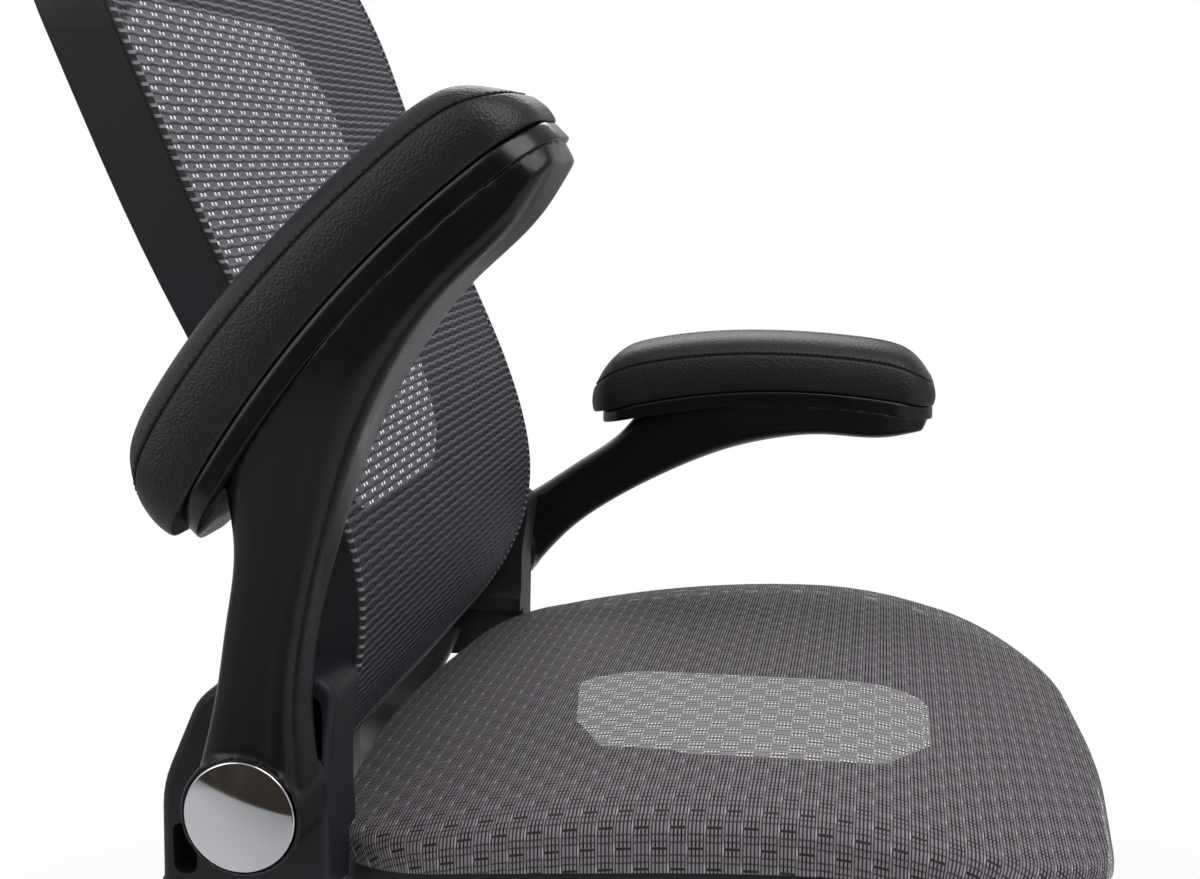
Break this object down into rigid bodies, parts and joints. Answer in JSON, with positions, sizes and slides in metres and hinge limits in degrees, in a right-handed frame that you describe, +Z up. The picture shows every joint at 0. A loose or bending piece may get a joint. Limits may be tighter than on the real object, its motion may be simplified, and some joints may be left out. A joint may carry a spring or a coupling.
{
  "type": "mesh office chair",
  "caption": "Swivel office chair with a woven mesh seat and back, flip-up padded arms, tilt mechanism, gas lift and a castered star base.",
  "frame": {"origin": "on the floor, under the axis of the lift column", "axes": "+Z up, the sitter faces -Y, +X to the sitter's left"},
  "size_m": [0.659, 0.693, 0.9688],
  "materials": {
    "black_nylon": "fine moulded grain",
    "arm_plastic": "satin moulded",
    "back_fabric": "open woven mesh",
    "edging": "stitched edging",
    "seat_fabric": "open woven mesh",
    "pad_leather": "fine grain with sewn seams",
    "chrome_cap": "polished",
    "black_steel": "powder coat",
    "bright_steel": "zinc plated",
    "bush_plastic": "natural",
    "caster_plastic": "moulded",
    "wheel_tread": "moulded tread"
  },
  "bodies": {
    "base": {"star_base": "black_nylon", "column_tube": "black_steel", "column_bush": "bush_plastic", "thrust_bearing": "bright_steel"},
    "caster_1": {"caster_1_hood": "caster_plastic", "caster_1_pins": "bright_steel"},
    "caster_1_left": {"caster_1_wheel_left": "wheel_tread"},
    "caster_1_right": {"caster_1_wheel_right": "wheel_tread"},
    "caster_2": {"caster_2_hood": "caster_plastic", "caster_2_pins": "bright_steel"},
    "caster_2_left": {"caster_2_wheel_left": "wheel_tread"},
    "caster_2_right": {"caster_2_wheel_right": "wheel_tread"},
    "caster_3": {"caster_3_hood": "caster_plastic", "caster_3_pins": "bright_steel"},
    "caster_3_left": {"caster_3_wheel_left": "wheel_tread"},
    "caster_3_right": {"caster_3_wheel_right": "wheel_tread"},
    "caster_4": {"caster_4_hood": "caster_plastic", "caster_4_pins": "bright_steel"},
    "caster_4_left": {"caster_4_wheel_left": "wheel_tread"},
    "caster_4_right": {"caster_4_wheel_right": "wheel_tread"},
    "caster_5": {"caster_5_hood": "caster_plastic", "caster_5_pins": "bright_steel"},
    "caster_5_left": {"caster_5_wheel_left": "wheel_tread"},
    "caster_5_right": {"caster_5_wheel_right": "wheel_tread"},
    "piston": {"piston_rod": "bright_steel", "rod_retainer": "bright_steel"},
    "mechanism": {"gas_cylinder": "bright_steel", "mechanism_housing": "black_steel", "tilt_shaft": "bright_steel", "tension_spring": "bright_steel"},
    "valve": {"valve_button": "bright_steel"},
    "lock": {"lock_slider": "bright_steel"},
    "lever": {"height_lever": "bright_steel", "lever_paddle": "black_nylon"},
    "knob": {"tension_knob": "black_nylon", "tension_bolt": "bright_steel"},
    "seat": {"mechanism_top_plate": "black_steel", "seat_pan": "black_nylon", "seat_mesh": "seat_fabric", "seat_bolts": "bright_steel", "back_yoke": "black_nylon", "yoke_bolts": "bright_steel", "back_frame": "black_nylon", "back_mesh": "back_fabric", "back_mesh_edging": "edging", "back_bolts": "bright_steel", "arm_axle_left": "bright_steel", "arm_axle_right": "bright_steel"},
    "arm_left": {"arm_left": "arm_plastic", "arm_tray_left": "arm_plastic", "arm_pad_left": "pad_leather", "arm_cap_left": "chrome_cap", "arm_bush_left": "bush_plastic"},
    "arm_right": {"arm_right": "arm_plastic", "arm_tray_right": "arm_plastic", "arm_pad_right": "pad_leather", "arm_cap_right": "chrome_cap", "arm_bush_right": "bush_plastic"}
  },
  "joints": [
    {"name": "caster_1_swivel", "type": "hinge", "parent": "base", "child": "caster_1", "pos_m": [0, -0.3, 0.0727], "axis": [0, 0, 1], "continuous": true},
    {"name": "caster_1_left_roll", "type": "hinge", "parent": "caster_1", "child": "caster_1_left", "pos_m": [0, -0.282, 0.03], "axis": [1, 0, 0], "continuous": true},
    {"name": "caster_1_right_roll", "type": "hinge", "parent": "caster_1", "child": "caster_1_right", "pos_m": [0, -0.282, 0.03], "axis": [1, 0, 0], "continuous": true},
    {"name": "caster_2_swivel", "type": "hinge", "parent": "base", "child": "caster_2", "pos_m": [0.28532, -0.0927, 0.0727], "axis": [0, 0, 1], "continuous": true},
    {"name": "caster_2_left_roll", "type": "hinge", "parent": "caster_2", "child": "caster_2_left", "pos_m": [0.28532, -0.0747, 0.03], "axis": [1, 0, 0], "continuous": true},
    {"name": "caster_2_right_roll", "type": "hinge", "parent": "caster_2", "child": "caster_2_right", "pos_m": [0.28532, -0.0747, 0.03], "axis": [1, 0, 0], "continuous": true},
    {"name": "caster_3_swivel", "type": "hinge", "parent": "base", "child": "caster_3", "pos_m": [0.17634, 0.24271, 0.0727], "axis": [0, 0, 1], "continuous": true},
    {"name": "caster_3_left_roll", "type": "hinge", "parent": "caster_3", "child": "caster_3_left", "pos_m": [0.17634, 0.26071, 0.03], "axis": [1, 0, 0], "continuous": true},
    {"name": "caster_3_right_roll", "type": "hinge", "parent": "caster_3", "child": "caster_3_right", "pos_m": [0.17634, 0.26071, 0.03], "axis": [1, 0, 0], "continuous": true},
    {"name": "caster_4_swivel", "type": "hinge", "parent": "base", "child": "caster_4", "pos_m": [-0.17634, 0.24271, 0.0727], "axis": [0, 0, 1], "continuous": true},
    {"name": "caster_4_left_roll", "type": "hinge", "parent": "caster_4", "child": "caster_4_left", "pos_m": [-0.17634, 0.26071, 0.03], "axis": [1, 0, 0], "continuous": true},
    {"name": "caster_4_right_roll", "type": "hinge", "parent": "caster_4", "child": "caster_4_right", "pos_m": [-0.17634, 0.26071, 0.03], "axis": [1, 0, 0], "continuous": true},
    {"name": "caster_5_swivel", "type": "hinge", "parent": "base", "child": "caster_5", "pos_m": [-0.28532, -0.0927, 0.0727], "axis": [0, 0, 1], "continuous": true},
    {"name": "caster_5_left_roll", "type": "hinge", "parent": "caster_5", "child": "caster_5_left", "pos_m": [-0.28532, -0.0747, 0.03], "axis": [1, 0, 0], "continuous": true},
    {"name": "caster_5_right_roll", "type": "hinge", "parent": "caster_5", "child": "caster_5_right", "pos_m": [-0.28532, -0.0747, 0.03], "axis": [1, 0, 0], "continuous": true},
    {"name": "seat_swivel", "type": "hinge", "parent": "base", "child": "piston", "pos_m": [0, 0, 0.0637], "axis": [0, 0, 1], "continuous": true},
    {"name": "seat_height", "type": "slide", "parent": "piston", "child": "mechanism", "axis": [0, 0, 1], "range_m": [0, 0.1]},
    {"name": "valve_press", "type": "slide", "parent": "mechanism", "child": "valve", "axis": [0, 0, -1], "range_m": [0, 0.005], "stiffness_N_per_m": 2000, "springref_m": -0.001},
    {"name": "tilt_lock_pull", "type": "slide", "parent": "mechanism", "child": "lock", "axis": [-1, 0, 0], "range_m": [0, 0.012]},
    {"name": "height_lever_lift", "type": "hinge", "parent": "lock", "child": "lever", "pos_m": [-0.05, 0, 0.3477], "axis": [0, 1, 0], "range_deg": [0, 5], "stiffness_Nm_per_rad": 3, "springref_deg": -5.73},
    {"name": "tension_knob_turn", "type": "hinge", "parent": "mechanism", "child": "knob", "pos_m": [0, -0.066, 0.3207], "axis": [0, 0, 1], "range_deg": [-360, 360]},
    {"name": "seat_tilt", "type": "hinge", "parent": "mechanism", "child": "seat", "pos_m": [0, -0.062, 0.3527], "axis": [-1, 0, 0], "range_deg": [0, 16], "stiffness_Nm_per_rad": 150, "springref_deg": -14.32},
    {"name": "arm_right_flip", "type": "hinge", "parent": "seat", "child": "arm_right", "pos_m": [-0.288, 0.215, 0.47], "axis": [-1, 0, 0], "range_deg": [-45.3, 44.7]},
    {"name": "arm_left_flip", "type": "hinge", "parent": "seat", "child": "arm_left", "pos_m": [0.288, 0.215, 0.47], "axis": [-1, 0, 0], "range_deg": [0, 90]}
  ],
  "couplings": [
    {"joint": "valve_press", "follows": "height_lever_lift", "m_per_rad": 0.05}
  ]
}
